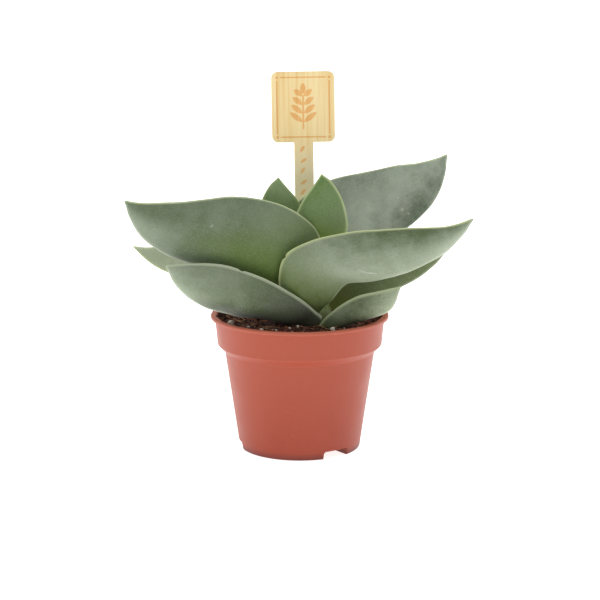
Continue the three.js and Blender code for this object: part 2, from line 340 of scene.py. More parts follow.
def leaf_skin(
    name,
    shade,
    bloom,
    base_tint_and_painted_light,
    haze,
    green_to,
    flank=0.1,
    tip=0.1,
    upper_edge=("BFCAA0", 0.8),
    lower_edge=("C5CCB8", 0.35),
    uneven=0.15,
    under_shadow=("4E5654", 0.0),
    patches=(),
    green_patches=(),
    marks=(),
):
    """The waxy skin of a succulent leaf: green flesh (shade) beneath a pale grey bloom of wax, a
    yellow-green base (fresh) that the bloom leaves free up to green_to, and a thin pale margin.
    haze is how much of the flesh the bloom hides, uneven how far that varies; flank and tip are how
    much more it hides along the lower margin and at the tip, a painted highlight where the floor
    lights the blade, and painted shade where they are below 0. The edges are the colour of a margin
    and how much of the skin it hides; under is the same for the painted slate shadow on the lower
    flank near the base. patches are (along, across, reach, amount) places where the bloom is
    thicker or, below 0, thinner: painted light and shade where the blade is lit and shaded. And
    green_patches are such places of the base colour. marks are (x, y, z, turn, length, width,
    colour) scars and rubbed spots, in mm and degrees."""
    material, tree, shader, place = new_material(name)
    along = add(tree, "ShaderNodeAttribute", attribute_name="along").outputs["Fac"]
    across = add(tree, "ShaderNodeAttribute", attribute_name="across").outputs["Fac"]
    rim = add(tree, "ShaderNodeAttribute", attribute_name="rim").outputs["Fac"]
    on_blade = add(tree, "ShaderNodeCombineXYZ", {"X": along, "Y": across})

    cloud = add(tree, "ShaderNodeTexNoise", {"Vector": place, "Scale": 1 / (14 * MM)})
    mottle = {"Vector": place, "Scale": 1 / (3.2 * MM), "Detail": 5, "Roughness": 0.6}
    mottle = add(tree, "ShaderNodeTexNoise", mottle)
    clouds = add(tree, "ShaderNodeMix", {0: 0.4, 2: cloud, 3: mottle})
    wax = {0: clouds, 1: 0.34, 2: 0.66, 3: haze - uneven, 4: haze + uneven}
    wax = add(tree, "ShaderNodeMapRange", wax, **EASED)
    # Painted highlight: more bloom, so a paler skin, along the lower margin and at the tip, where the
    # floor lights the blade; below 0 this is painted shade.
    low = add(tree, "ShaderNodeMapRange", {0: across, 1: -1, 2: 0.3, 3: flank, 4: 0})
    wax = add(tree, "ShaderNodeMath", {0: wax, 1: low}, operation="ADD")
    far = add(tree, "ShaderNodeMapRange", {0: along, 1: 0.6, 2: 1, 3: 0, 4: tip})
    wax = add(tree, "ShaderNodeMath", {0: wax, 1: far}, operation="ADD")
    # Painted light and shade: the patches make the skin paler where the blade is lit and darker where
    # it is shaded.
    wax = more_at(tree, wax, patches, on_blade, mottle)
    wax = add(tree, "ShaderNodeClamp", {0: wax})
    skin = add(
        tree, "ShaderNodeMix", {0: wax, 6: colour(shade), 7: colour(bloom)}, data_type="RGBA"
    )

    veins = add(tree, "ShaderNodeMapping", {"Vector": on_blade, "Scale": (3.5, 26, 1)})
    veins = add(tree, "ShaderNodeTexNoise", {"Vector": veins, "Scale": 1, "Detail": 4})
    veins = add(tree, "ShaderNodeMapRange", {0: veins, 1: 0.35, 2: 0.75, 3: 0, 4: 0.12})

    base = {0: along, 1: 0.2 * green_to, 2: green_to, 3: 1, 4: 0}
    base = add(tree, "ShaderNodeMapRange", base, **EASED)
    rubbed = add(tree, "ShaderNodeMapRange", {0: mottle, 1: 0.3, 2: 0.7, 3: 0.7, 4: 1})
    base = add(tree, "ShaderNodeMath", {0: base, 1: rubbed}, operation="MULTIPLY")
    base = more_at(tree, base, green_patches, on_blade, mottle)
    base = add(tree, "ShaderNodeClamp", {0: base})

    # Painted shadow: a dark slate tint on the lower flank near the base, where the leaves and soil
    # around shade the blade.
    below = {0: across, 1: -0.3, 2: -0.9, 3: 0, 4: under_shadow[1]}
    below = add(tree, "ShaderNodeMapRange", below, **EASED)
    near = add(tree, "ShaderNodeMapRange", {0: along, 1: 0.8, 2: 0.5})
    painted_shadow = add(tree, "ShaderNodeMath", {0: below, 1: near}, operation="MULTIPLY")

    specks = add(tree, "ShaderNodeTexNoise", {"Vector": place, "Scale": 1 / (0.4 * MM)})
    pale = add(tree, "ShaderNodeMapRange", {0: specks, 1: 0.5, 2: 0.75, 3: 0, 4: 0.12})
    dark = add(tree, "ShaderNodeMapRange", {0: specks, 1: 0.5, 2: 0.25, 3: 0, 4: 0.15})

    covers = [
        (veins, bloom),
        (base, base_tint_and_painted_light),
        (painted_shadow, under_shadow[0]),
        (pale, "BCC6AE"),
        (dark, "3F4E36"),
    ]
    for cover, code in covers:
        skin = add(tree, "ShaderNodeMix", {0: cover, 6: skin, 7: colour(code)}, data_type="RGBA")
    skin = scarred(tree, skin, marks, place, specks)
    skin = margined(tree, skin, lower_edge, upper_edge, across, rim)
    tree.links.new(skin.outputs[2], shader.inputs["Base Color"])

    gloss = add(tree, "ShaderNodeMapRange", {0: wax, 1: 0, 2: 1, 3: 0.46, 4: 0.64})
    tree.links.new(gloss.outputs[0], shader.inputs["Roughness"])
    shader.inputs["IOR"].default_value = 1.44
    shader.inputs["Subsurface Weight"].default_value = 0.18
    shader.inputs["Subsurface Radius"].default_value = (0.7, 1.0, 0.35)
    shader.inputs["Subsurface Scale"].default_value = 1.2 * MM
    shader.inputs["Specular IOR Level"].default_value = 0.35
    shader.inputs["Sheen Weight"].default_value = 0.05
    shader.inputs["Sheen Roughness"].default_value = 0.5
    pores = add(tree, "ShaderNodeBump", {"Height": specks, "Distance": 0.02 * MM})
    dents = add(
        tree, "ShaderNodeBump", {"Height": mottle, "Distance": 0.05 * MM, "Normal": pores}
    )
    tree.links.new(dents.outputs[0], shader.inputs["Normal"])
    return material


def stalk_skin():
    """Young succulent stem: smooth olive green with paler streaks lengthwise, waxy."""
    material, tree, shader, place = new_material("green_stalk")
    streaks = add(tree, "ShaderNodeMapping", {"Vector": place, "Scale": (700, 700, 120)})
    streaks = add(tree, "ShaderNodeTexNoise", {"Vector": streaks, "Scale": 1})
    streaks = add(tree, "ShaderNodeMapRange", {0: streaks, 1: 0.3, 2: 0.7})
    green = add(
        tree, "ShaderNodeMix", {0: streaks, 6: colour("58662A"), 7: colour("76833E")}, data_type="RGBA"
    )
    tree.links.new(green.outputs[2], shader.inputs["Base Color"])
    shader.inputs["Roughness"].default_value = 0.5
    shader.inputs["Subsurface Weight"].default_value = 0.15
    shader.inputs["Subsurface Scale"].default_value = 1 * MM
    pores = add(tree, "ShaderNodeTexNoise", {"Vector": place, "Scale": 1 / (0.6 * MM)})
    pores = add(tree, "ShaderNodeBump", {"Height": pores, "Distance": 0.04 * MM})
    tree.links.new(pores.outputs[0], shader.inputs["Normal"])
    return material


def damp_peat():
    """Peat-based potting soil, damp: near-black brown crumbs with redder bark and dull, rough
    faces that only glint a little."""
    material, tree, shader, place = new_material("damp_peat")
    crumbs = add(tree, "ShaderNodeTexVoronoi", {"Vector": place, "Scale": 1 / (0.9 * MM)})
    tone = add(tree, "ShaderNodeSeparateColor", {0: crumbs.outputs["Color"]})
    brown = add(tree, "ShaderNodeMapRange", {0: tone, 1: 0.2, 2: 0.9})
    earth = add(
        tree, "ShaderNodeMix", {0: brown, 6: colour("27160F"), 7: colour("5C3022")}, data_type="RGBA"
    )
    bark = add(tree, "ShaderNodeMapRange", {0: tone, 1: 0.86, 2: 0.9, 3: 0, 4: 0.8})
    earth = add(tree, "ShaderNodeMix", {0: bark, 6: earth, 7: colour("7E4A34")}, data_type="RGBA")
    fine = {"Vector": place, "Scale": 1 / (0.35 * MM), "Detail": 5, "Roughness": 0.7}
    fine = add(tree, "ShaderNodeTexNoise", fine)
    dusty = add(tree, "ShaderNodeMapRange", {0: fine, 1: 0.5, 2: 0.75, 3: 0, 4: 0.5})
    earth = add(tree, "ShaderNodeMix", {0: dusty, 6: earth, 7: colour("663B2A")}, data_type="RGBA")
    tree.links.new(earth.outputs[2], shader.inputs["Base Color"])
    gloss = add(tree, "ShaderNodeMapRange", {0: fine, 1: 0.3, 2: 0.7, 3: 0.66, 4: 0.95})
    tree.links.new(gloss.outputs[0], shader.inputs["Roughness"])
    shader.inputs["Specular IOR Level"].default_value = 0.3
    grit = add(tree, "ShaderNodeBump", {"Height": fine, "Distance": 0.25 * MM})
    tree.links.new(grit.outputs[0], shader.inputs["Normal"])
    return material


def dry_fibre():
    """Dry peat and coir fibre: straw to reddish brown, dull."""
    material, tree, shader, place = new_material("dry_fibre")
    patch = add(tree, "ShaderNodeTexNoise", {"Vector": place, "Scale": 1 / (4 * MM)})
    patch = add(tree, "ShaderNodeMapRange", {0: patch, 1: 0.38, 2: 0.6})
    straw = add(
        tree, "ShaderNodeMix", {0: patch, 6: colour("6A3B28"), 7: colour("C79C74")}, data_type="RGBA"
    )
    tree.links.new(straw.outputs[2], shader.inputs["Base Color"])
    shader.inputs["Roughness"].default_value = 0.8
    return material


def expanded_perlite():
    """Perlite, a glass blown up by heat: chalky white grains with fine pits."""
    material, tree, shader, place = new_material("expanded_perlite")
    pits = {"Vector": place, "Scale": 1 / (0.4 * MM), "Detail": 4, "Roughness": 0.7}
    pits = add(tree, "ShaderNodeTexNoise", pits)
    clean = add(tree, "ShaderNodeMapRange", {0: pits, 1: 0.35, 2: 0.6})
    chalk = add(
        tree, "ShaderNodeMix", {0: clean, 6: colour("B39A84"), 7: colour("F3EDE2")}, data_type="RGBA"
    )
    tree.links.new(chalk.outputs[2], shader.inputs["Base Color"])
    shader.inputs["Roughness"].default_value = 0.85
    pits = add(tree, "ShaderNodeBump", {"Height": pits, "Distance": 0.12 * MM})
    tree.links.new(pits.outputs[0], shader.inputs["Normal"])
    return material


def sawn_birch(name, light, dark, stick):
    """Thin sawn birch, sanded: straight fine grain along the stick, paler and darker year bands
    and short fibre flecks, hardly any gloss. stick is its colour low on the stick, paler there as
    painted light, where the leaves in front shade it."""
    material, tree, shader, place = new_material(name)
    bands = add(tree, "ShaderNodeMapping", {"Vector": place, "Scale": (900, 900, 22)})
    bands = add(tree, "ShaderNodeTexNoise", {"Vector": bands, "Scale": 1, "Detail": 3})
    bands = add(tree, "ShaderNodeMapRange", {0: bands, 1: 0.34, 2: 0.68})
    wood = add(tree, "ShaderNodeMix", {0: bands, 6: colour(dark), 7: colour(light)}, data_type="RGBA")
    threads = add(tree, "ShaderNodeMapping", {"Vector": place, "Scale": (4200, 4200, 160)})
    threads = add(tree, "ShaderNodeTexNoise", {"Vector": threads, "Scale": 1})
    flecks = add(tree, "ShaderNodeMapRange", {0: threads, 1: 0.5, 2: 0.8, 3: 0, 4: 0.45})
    wood = add(tree, "ShaderNodeMix", {0: flecks, 6: wood, 7: colour(dark)}, data_type="RGBA")
    height = add(tree, "ShaderNodeSeparateXYZ", {0: place}).outputs["Z"]
    # Painted light: the wood is paler low on the stick, where the leaves in front shade it.
    base_tint_and_painted_light = add(tree, "ShaderNodeMapRange", {0: height, 1: 94 * MM, 2: 84 * MM, 3: 0, 4: 0.9})
    wood = add(tree, "ShaderNodeMix", {0: base_tint_and_painted_light, 6: wood, 7: colour(stick)}, data_type="RGBA")
    tree.links.new(wood.outputs[2], shader.inputs["Base Color"])
    shader.inputs["Roughness"].default_value = 0.62
    threads = add(tree, "ShaderNodeBump", {"Height": threads, "Distance": 0.03 * MM})
    tree.links.new(threads.outputs[0], shader.inputs["Normal"])
    return material


# The pot


def channel_blocks(name, grow, rounding):
    """Blocks along the three drain channels, down past the pot's foot, larger than them by grow."""
    past = 1
    start = CHANNEL_START - grow
    length = LIP_RADIUS - start
    height = CHANNEL_HEIGHT + grow + past
    blocks = []
    for degrees in CHANNEL_ANGLES:
        turn = math.radians(degrees)
        out = start + length / 2
        middle = Vector((out * math.cos(turn), out * math.sin(turn), height / 2 - past))
        bpy.ops.mesh.primitive_cube_add(
            size=1,
            location=middle * MM,
            rotation=(0, 0, turn),
            scale=(length * MM, (CHANNEL_WIDTH + 2 * grow) * MM, height * MM),
        )
        blocks.append(bpy.context.object)
    piece = join(name, blocks)
    with edit_mode(piece):
        pick(piece, "EDGE", lambda at: at.z > height - past - 0.2)
        bpy.ops.mesh.bevel(offset=rounding * MM, segments=4, affect="EDGES")
    return piece


def model_pot():
    """A thin-walled moulded pot: foot, tapered body, shoulder, deep collar and rolled lip."""
    outside = [
        [0, 0, 0],
        [FOOT_RADIUS, 0, 0.7],
        [SHOULDER_RADIUS, SHOULDER_HEIGHT, 0.6],
        [COLLAR_RADIUS, COLLAR_HEIGHT, 0.55],
        [COLLAR_TOP_RADIUS, LIP_HEIGHT, 0.3],
        [LIP_RADIUS, LIP_HEIGHT, 0.4],
        [LIP_RADIUS, POT_HEIGHT, 0.6],
    ]
    inside = [
        [COLLAR_TOP_RADIUS - WALL, POT_HEIGHT, 1.1],
        [COLLAR_RADIUS - WALL, COLLAR_HEIGHT, 0.5],
        [SHOULDER_RADIUS - WALL, SHOULDER_HEIGHT, 0.6],
        [FOOT_RADIUS - WALL, WALL, 1.2],
        [0, WALL, 0],
    ]
    pot = turned("moulded_pot", rounded(outside + inside), 180)
    low = WALL / 2
    reach = [[0, low], [FOOT_RADIUS - 0.6, low], [20, 10], [0, 10]]
    tunnels = channel_blocks("tunnels", WALL, 1.2)
    cut(tunnels, turned("tunnel_reach", reach, 180), "INTERSECT")
    cut(pot, tunnels, "UNION")
    cut(pot, channel_blocks("channels", 0, 0.7))
    for degrees in CHANNEL_ANGLES:
        turn = math.radians(degrees)
        place = (DRAIN_AT * math.cos(turn) * MM, DRAIN_AT * math.sin(turn) * MM, 2 * MM)
        bpy.ops.mesh.primitive_cylinder_add(
            vertices=40, radius=DRAIN_RADIUS * MM, depth=8 * MM, location=place
        )
        cut(pot, bpy.context.object)
    smooth(pot, 32)
    dress(pot, moulded_polypropylene())
    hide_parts("pot")
    return pot


# The leaves


def limit_cage(piece, rounds=3):
    """Let a cage out until its smooth surface runs through the points that the cage had."""
    wanted = [v.co.copy() for v in piece.data.vertices]
    probe = piece.modifiers.new("probe", "SUBSURF")
    probe.levels = 2
    probe.render_levels = 2
    for _ in range(rounds):
        bpy.context.view_layer.update()
        smoothed = piece.evaluated_get(bpy.context.evaluated_depsgraph_get())
        reached = [smoothed.data.vertices[i].co.copy() for i in range(len(wanted))]
        for vertex, want, got in zip(piece.data.vertices, wanted, reached):
            vertex.co += want - got
    piece.modifiers.remove(probe)


def leaf_places(piece):
    """For each vertex of a bare leaf: its place from base (0) to tip (1), its place across the
    blade from the upper margin (1) to the lower one (-1), and its distance in mm to the margin."""
    mesh = bmesh.new()
    mesh.from_mesh(piece.data)
    mesh.verts.ensure_lookup_table()
    poles = sorted(mesh.verts, key=lambda v: len(v.link_edges))[-2:]
    base, tip = sorted(poles, key=lambda v: v.co.z)
    rings = [[tip]]
    seen = {tip}
    while True:
        ring = {e.other_vert(v) for v in rings[-1] for e in v.link_edges} - seen
        if not ring:
            break
        seen |= ring
        rings.append(list(ring))
    rings.reverse()
    middles = [sum((v.co for v in ring), Vector()) / len(ring) for ring in rings]
    steps = [(b - a).length for a, b in zip(middles, middles[1:])]
    widest = [
        max((a.co - b.co for a in ring for b in ring), key=lambda gap: gap.length) for ring in rings
    ]
    half = len(rings) // 2
    if widest[half].z < 0:
        widest[half] = -widest[half]
    for order in (range(half + 1, len(rings)), range(half - 1, -1, -1)):
        last = widest[half]
        for i in order:
            if widest[i].dot(last) < 0:
                widest[i] = -widest[i]
            if widest[i].length > 0:
                last = widest[i]
    places = {"along": {}, "across": {}, "rim": {}}
    for i, ring in enumerate(rings):
        for v in ring:
            reach = widest[i].length_squared / 2
            across = (v.co - middles[i]).dot(widest[i]) / reach if reach > 0 else 0
            places["along"][v.index] = sum(steps[:i]) / sum(steps)
            places["across"][v.index] = across
            places["rim"][v.index] = (1 - abs(across)) * widest[i].length / 2 / MM
    mesh.free()
    return places


def model_leaf(node, skin, slot, swell, seed, drop=0, pushes=()):
    """A leaf smoothed from its CAD solid, with the gentle dents and swellings of a grown one. swell
    is how high they are and drop how far the lower edge of its base reaches down the stem. pushes
    are (place, push, reach) nicks and bends of its margin. All are in mm."""
    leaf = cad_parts[node].copy()
    leaf.data = leaf.data.copy()
    bpy.context.collection.objects.link(leaf)
    leaf.name = leaf.data.name = node.replace("leaf_", "blade_")
    with edit_mode(leaf):
        bpy.ops.mesh.select_all(action="SELECT")
        bpy.ops.mesh.remove_doubles(threshold=0.002 * MM)
    for name, values in leaf_places(leaf).items():
        attribute = leaf.data.attributes.new(name, "FLOAT", "POINT")
        for i, value in values.items():
            attribute.data[i].value = value
    with edit_mode(leaf):
        bpy.ops.mesh.select_all(action="SELECT")
        bpy.ops.mesh.tris_convert_to_quads(
            face_threshold=math.pi, shape_threshold=math.pi, topology_influence=1.0
        )
    limit_cage(leaf)
    modify(leaf, "SUBSURF", levels=3, render_levels=3)
    shift = Vector((seed * 3.1, seed * 1.7, seed * 2.3))
    moves = []
    for v in leaf.data.vertices:
        at = v.co / MM
        broad = noise.noise(at / 8 + shift)
        fine = noise.noise(at / 2.6 + shift)
        moves.append(v.normal * (swell * broad + 0.25 * swell * fine) * MM)
    along = leaf.data.attributes["along"].data
    across = leaf.data.attributes["across"].data
    for v, move in zip(leaf.data.vertices, moves):
        low = max(0, 1 - along[v.index].value / 0.5) * max(0, -across[v.index].value)
        v.co += move - Vector((0, 0, drop * low * MM))
        for place, push, reach in pushes:
            near = max(0, 1 - (v.co / MM - Vector(place)).length / reach)
            v.co += Vector(push) * near * near * (3 - 2 * near) * MM
    smooth(leaf)
    dress(leaf, skin)
    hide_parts(node)
    return leaf


# The stem


def model_stem():
    """The short fleshy stem, wider low down, where the lowest leaf bases clasp it."""
    line = [
        [0, 26, 0],
        [4.4, 26, 0.8],
        [6.8, 34, 2],
        [9.2, 40, 3],
        [8.7, 43.5, 2.5],
        [5.8, 48.5, 3],
        [4.8, 52, 3],
        [3.6, 58, 3],
        [2.2, 62, 2],
        [1.2, 65, 1.5],
        [0.7, 67.5, 0.3],
        [0, 68, 0],
    ]
    stem = turned("fleshy_stem", rounded(line, 6), 72)
    with edit_mode(stem):
        bpy.ops.mesh.select_all(action="SELECT")
        bpy.ops.transform.translate(value=(STEM_X * MM, 0, 0))
    smooth(stem, 60)
    dress(stem, stalk_skin())
    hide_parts("stem")
    return stem


# The soil


def soil_height(x, y):
    """The lie of the soil, as the CAD has it, with a low heap near the front."""
    lumps = 0.35 * math.sin(0.42 * x + 1.3) * math.cos(0.37 * y - 0.4)
    crumbs = 0.2 * math.sin(0.95 * x - 0.7 * y) + 0.15 * math.cos(1.3 * x + 1.1 * y)
    heap = 0.9 * math.exp(-((x + 3) ** 2 + (y + 19) ** 2) / 60)
    return SOIL_LEVEL + lumps + crumbs + heap


def model_soil():
    """The body of the soil, with a crumbly top. Its side stays just inside the pot's wall, and it
    ends above the channels."""
    bottom = 4.1
    step = 0.36
    rings = 69
    side = [[0, bottom], [16.2, bottom], [18.2, 6.5], [22.2, 30.9], [24.4, 32.9]]
    top = [[SOIL_RADIUS - step * i, SOIL_LEVEL] for i in range(rings)]
    soil = turned("peat_soil", [*side, *top, [0, SOIL_LEVEL]], 210)
    for v in soil.data.vertices:
        at = v.co / MM
        if at.z < SOIL_LEVEL - 0.01:
            continue
        place = Vector((at.x, at.y, 0))
        clods = 0.5 * noise.noise(place / 2.4)
        near, *_ = noise.voronoi(place / 1.1)[0]
        domes = 0.5 * max(0, 0.55 - near)
        grit = 0.2 * noise.noise(place / 0.6)
        rim = max(0, (math.hypot(at.x, at.y) - 23.6) / 1.5)
        v.co.z = (soil_height(at.x, at.y) + clods + domes + grit - 0.5 * rim) * MM
    smooth(soil)
    dress(soil, damp_peat())
    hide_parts("soil")
    return soil


def crumb_shapes(chance, count, roughness):
    """Some crumbs of about 1 mm, each dented its own way."""
    shapes = []
    for _ in range(count):
        bpy.ops.mesh.primitive_ico_sphere_add(subdivisions=2, radius=0.5)
        crumb = bpy.context.object
        shift = Vector((chance.uniform(-9, 9), chance.uniform(-9, 9), chance.uniform(-9, 9)))
        for v in crumb.data.vertices:
            dent = noise.noise(v.co * 2.6 + shift) + 0.35 * noise.noise(v.co * 6 + shift)
            v.co *= 1 + roughness * dent
        smooth(crumb, 50)
        shapes.append(crumb)
    return shapes


def free_of(trees, at, room):
    """Whether a place is at least room mm from the nearest leaf, stem or label."""
    for tree in trees:
        hit, _, _, distance = tree.find_nearest(at * MM)
        if hit and distance < room * MM:
            return False
    return True


def somewhere(chance, reach):
    """A place on the soil, at random, up to reach mm from the pot's axis."""
    angle = chance.uniform(0, 2 * math.pi)
    radius = reach * math.sqrt(chance.random())
    return radius * math.cos(angle), radius * math.sin(angle)


def scatter(name, shapes, places, chance):
    """Copies of the shapes at (x, y, z, size) places, each turned its own way, as one piece."""
    copies = []
    for x, y, z, size in places:
        shape = chance.choice(shapes)
        copy = shape.copy()
        copy.data = shape.data.copy()
        bpy.context.collection.objects.link(copy)
        copy.location = (x * MM, y * MM, z * MM)
        copy.rotation_euler = [chance.uniform(0, 2 * math.pi) for _ in range(3)]
        copy.scale = [size * chance.uniform(0.75, 1.25) * MM for _ in range(3)]
        copies.append(copy)
    piece = join(name, copies)
    for shape in shapes:
        bpy.data.objects.remove(shape)
    return piece


def model_crumbs(trees):
    """Loose crumbs and bark bits on the soil, and more of them up against the pot's lip."""
    chance = random.Random(11)
    loose = 620
    against_lip = 280
    places = []
    while len(places) < loose:
        x, y = somewhere(chance, 24.4)
        size = 0.5 + 1.5 * chance.random() ** 3
        at = Vector((x, y, soil_height(x, y) + 0.1))
        is_inside = math.hypot(x, y) + size / 2 < 24.9
        if is_inside and free_of(trees, at, 0.35 * size):
            places.append((x, y, at.z, size))
    while len(places) < loose + against_lip:
        angle = chance.uniform(0, 2 * math.pi)
        radius = chance.uniform(24.3, 25.9)
        x, y = radius * math.cos(angle), radius * math.sin(angle)
        z = 40.7 + 0.75 * (radius - 24.3) + chance.uniform(-0.3, 0.2)
        if free_of(trees, Vector((x, y, z)), 0.4):
            places.append((x, y, z, chance.uniform(0.5, 1.1)))
    crumbs = scatter("soil_crumbs", crumb_shapes(chance, 6, 0.6), places, chance)
    dress(crumbs, damp_peat())
    return crumbs, chance


def model_perlite(trees, chance):
    """White perlite grains: the large ones that show in front, and more at random."""
    grains = 24
    in_front = [
        (-21, -9, 1.9),
        (-11.5, -19, 1.1),
        (-12.6, -20.4, 0.9),
        (-7.2, -22, 1.1),
        (9.9, -16.8, 2.0),
    ]
    places = [(x, y, soil_height(x, y) + 0.5, size) for x, y, size in in_front]
    while len(places) < grains:
        x, y = somewhere(chance, 22.8)
        size = chance.uniform(0.5, 1.5)
        at = Vector((x, y, soil_height(x, y) + 0.25))
        if free_of(trees, at, 0.6 * size):
            places.append((x, y, at.z, size))
    perlite = scatter("perlite_grains", crumb_shapes(chance, 4, 0.45), places, chance)
    dress(perlite, expanded_perlite())
    return perlite


def model_fibres(trees):
    """Fine dry fibres lying over the crumbs, each a bent line of short steps."""
    chance = random.Random(5)
    count = 110
    steps = 6
    fibres = []
    while len(fibres) < count:
        x, y = somewhere(chance, 22.5)
        heading = chance.uniform(0, 2 * math.pi)
        length = chance.uniform(2.5, 7)
        points = []
        for _ in range(steps + 1):
            points.append(Vector((x, y, soil_height(x, y) + 0.45 + chance.uniform(-0.2, 0.35))))
            x += length / steps * math.cos(heading)
            y += length / steps * math.sin(heading)
            heading += chance.uniform(-0.5, 0.5)
        if any(math.hypot(p.x, p.y) > 24.3 or not free_of(trees, p, 0.3) for p in points):
            continue
        data = bpy.data.curves.new("fibre", "CURVE")
        data.dimensions = "3D"
        data.bevel_depth = chance.uniform(0.05, 0.11) * MM
        data.bevel_resolution = 1
        data.use_fill_caps = True
        data.resolution_u = 2
        spline = data.splines.new("NURBS")
        spline.points.add(len(points) - 1)
        for knot, point in zip(spline.points, points):
            knot.co = (*(point * MM), 1)
        spline.use_endpoint_u = True
        fibre = bpy.data.objects.new("fibre", data)
        bpy.context.collection.objects.link(fibre)
        fibres.append(fibre)
    bpy.ops.object.select_all(action="DESELECT")
    for fibre in fibres:
        fibre.select_set(True)
    bpy.context.view_layer.objects.active = fibres[0]
    bpy.ops.object.convert(target="MESH")
    piece = join("soil_fibres", fibres)
    smooth(piece)
    dress(piece, dry_fibre())
    return piece


# The label

LABEL_TOP = 114.8
LABEL_X = 0.9
LABEL_Y = 18.2
LABEL_LEAN = 0.9
HEAD_WIDTH = 19.7
HEAD_HEIGHT = 22
HEAD_CORNER = 2
STICK_WIDTH = 6
STICK_LENGTH = 61
POINT_LENGTH = 9
BOARD = 1.5


def stand_label(piece):
    """Turn a piece of the label, made upright with its top edge at Z = 0, to its place."""
    piece.rotation_euler = (0, -math.radians(LABEL_LEAN), 0)
    piece.location = (LABEL_X * MM, LABEL_Y * MM, LABEL_TOP * MM)
    settle(piece)


def model_label():
    """A thin wooden plant label: rounded square head on a pointed stick."""
    bpy.ops.mesh.primitive_cube_add(
        size=1,
        location=(0, 0, -HEAD_HEIGHT / 2 * MM),
        scale=(HEAD_WIDTH * MM, BOARD * MM, HEAD_HEIGHT * MM),
    )
    label = bpy.context.object
    settle(label)
    with edit_mode(label):
        for x in (-STICK_WIDTH / 2, STICK_WIDTH / 2):
            bpy.ops.mesh.select_all(action="SELECT")
            bpy.ops.mesh.bisect(plane_co=(x * MM, 0, 0), plane_no=(1, 0, 0))
        pick(label, "FACE", lambda at: at.z < -HEAD_HEIGHT + 0.1 and abs(at.x) < 1)
        for length in (STICK_LENGTH, POINT_LENGTH):
            move = (0, 0, -length * MM)
            bpy.ops.mesh.extrude_region_move(TRANSFORM_OT_translate={"value": move})
        bpy.ops.transform.resize(value=(0.27, 1, 1), center_override=(0, 0, 0))
        side = HEAD_WIDTH / 2
        pick(label, "EDGE", lambda at: abs(abs(at.x) - side) < 0.1 and abs(at.y) < 0.1)
        bpy.ops.mesh.bevel(offset=HEAD_CORNER * MM, segments=8, affect="EDGES")
    modify(
        label,
        "BEVEL",
        width=0.22 * MM,
        segments=3,
        limit_method="ANGLE",
        angle_limit=math.radians(40),
    )
    label.name = label.data.name = "wooden_label"
    stand_label(label)
    smooth(label, 30)
    dress(label, sawn_birch("sanded_birch", "FFE9B4", "F4D391", "FFF0C8"))
    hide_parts("label")
    return label


def leaflet(x, z, turn, length, width):
    """A small pointed leaf mark, flat on the front of the label."""
    bpy.ops.mesh.primitive_circle_add(vertices=20, radius=1, fill_type="NGON")
    mark = bpy.context.object
    for v in mark.data.vertices:
        t = v.co.x
        v.co.y *= (1 - t * t) ** 0.35 if abs(t) < 1 else 0
        v.co.x = (t + 1) / 2 * length * MM
        v.co.y *= width / 2 * MM
    mark.rotation_euler = (math.radians(90), -turn, 0)
    mark.location = (x * MM, 0, z * MM)
    settle(mark)
    return mark


def bar(x, z, width, height, corner):
    """A flat mark with rounded ends on the front of the label."""
    bpy.ops.mesh.primitive_plane_add(
        size=1, location=(x * MM, 0, z * MM), rotation=(math.radians(90), 0, 0)
    )
    mark = bpy.context.object
    mark.scale = (width * MM, height * MM, 1)
    settle(mark)
    with edit_mode(mark):
        bpy.ops.mesh.select_all(action="SELECT")
        bpy.ops.mesh.bevel(offset=corner * MM, segments=4, affect="VERTICES")
    return mark


def model_ornament():
    """A plain burnt-in ornament: a thin line round the head with a dot in each corner, a sprig in
    it, and small leaves down the stick."""
    inset = 1.7
    line = 0.4
    side = HEAD_WIDTH / 2 - inset
    top = -inset
    foot = -HEAD_HEIGHT + inset
    marks = []
    for x in (-side, side):
        marks.append(bar(x, (top + foot) / 2, line, top - foot - 2, 0.19))
    for z in (top, foot):
        marks.append(bar(0, z, 2 * side - 2, line, 0.19))
    for x in (-side, side):
        for z in (top, foot):
            marks.append(bar(0.995 * x, z, 2 * line, 2 * line, 0.38))
    marks.append(bar(0, -12.6, 0.5, 10.6, 0.24))
    for k in range(4):
        z = -15.6 + 2.7 * k
        length = 4.9 - 0.55 * k
        marks.append(leaflet(0.25, z, math.radians(38), length, 1.7))
        marks.append(leaflet(-0.25, z, math.radians(142), length, 1.7))
    marks.append(leaflet(0, -6.9, math.radians(90), 3.4, 1.8))
    for k in range(8):
        z = -HEAD_HEIGHT - 3 - 3.4 * k
        marks.append(leaflet(-1.1, z, math.radians(35 if k % 2 else 55), 2.4, 1.0))
    ornament = join("burnt_ornament", marks)
    with edit_mode(ornament):
        bpy.ops.mesh.select_all(action="SELECT")
        bpy.ops.mesh.normals_make_consistent(inside=False)
        bpy.ops.transform.translate(value=(0, -(BOARD / 2 + 0.02) * MM, 0))
    modify(ornament, "SOLIDIFY", thickness=0.06 * MM, offset=0)
    stand_label(ornament)
    dress(ornament, sawn_birch("scorched_birch", "F6C27C", "E8AC60", "FFCF8C"))
    return ornament
